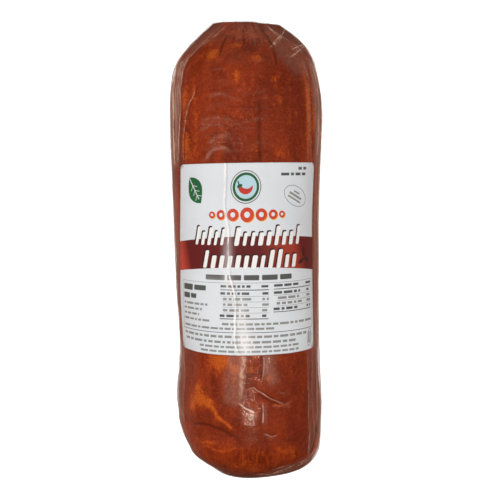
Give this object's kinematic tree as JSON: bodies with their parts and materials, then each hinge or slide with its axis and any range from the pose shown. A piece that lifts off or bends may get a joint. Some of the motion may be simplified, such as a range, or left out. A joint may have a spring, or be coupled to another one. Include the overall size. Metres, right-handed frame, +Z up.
{
  "type": "coppa in a sealed bag",
  "caption": "Whole cooked coppa log, vacuum-sealed in a clear shrink bag with one gathered end and one round end, with a printed label wrapped over its upper side.",
  "frame": {"origin": "on the table, under the middle of the log", "axes": "+Y along the log towards the gathered end, +X across it, +Z up through the label"},
  "size_m": [0.1008, 0.301, 0.0885],
  "materials": {
    "bag": "clear glossy film drawn tight over paprika-coated meat",
    "label": "satin white label with printed fields of colour"
  },
  "bodies": {
    "root": {"sealed_bag": "bag", "label": "label"}
  },
  "joints": []
}
